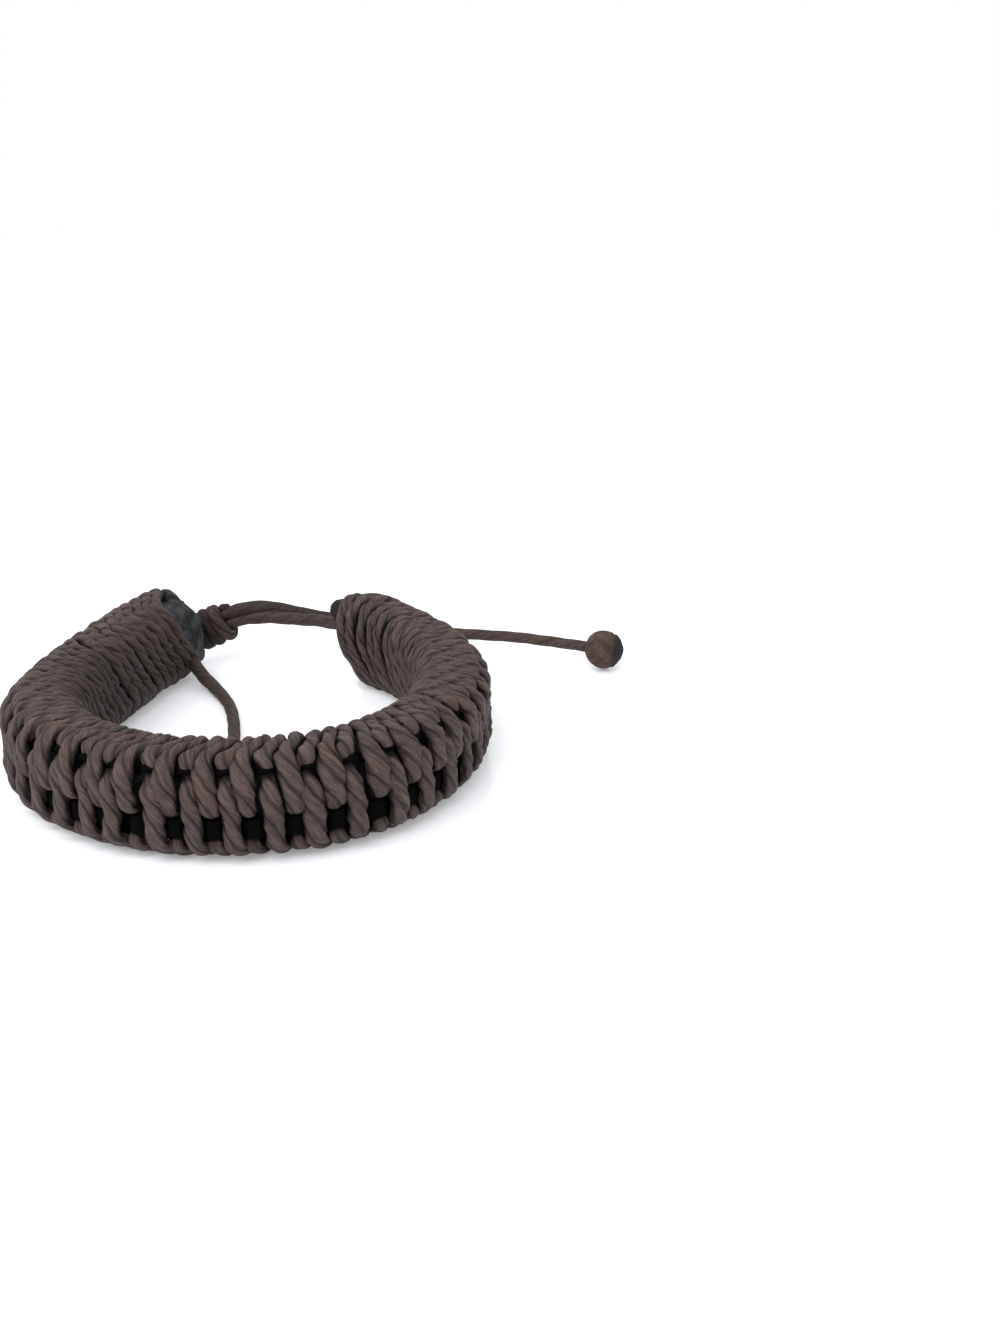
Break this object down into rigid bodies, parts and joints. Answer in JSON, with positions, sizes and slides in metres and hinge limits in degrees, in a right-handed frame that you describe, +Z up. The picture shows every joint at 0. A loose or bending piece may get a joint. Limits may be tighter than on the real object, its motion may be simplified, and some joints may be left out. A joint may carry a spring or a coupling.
{
  "type": "bracelet",
  "caption": "Thick open band of waxed cord wound over a black core and woven across dark laces, closed by cords in a sliding knot with ball-knotted tails.",
  "frame": {"origin": "centre of the band's bounding box at its base, on the surface that it lies on", "axes": "+Z up along the axis of the wrist opening, the gap and sliding knot at +Y, the front at -Y, the long tail towards +X"},
  "size_m": [0.1053, 0.0931, 0.016],
  "materials": {
    "wrap_cord": "waxed twisted cord",
    "closing_cord": "waxed twisted cord",
    "ball_knot": "waxed cord, knotted",
    "lace": "matt",
    "core_leather": "matt, fibrous at the cut ends"
  },
  "bodies": {
    "root": {"core": "core_leather", "left_wrap_cord": "wrap_cord", "right_wrap_cord": "wrap_cord", "upper_lace": "lace", "lower_lace": "lace", "sliding_knot": "closing_cord", "closing_cord": "closing_cord", "right_tail": "closing_cord", "left_tail": "closing_cord", "right_ball_knot": "ball_knot", "left_ball_knot": "ball_knot"}
  },
  "joints": []
}
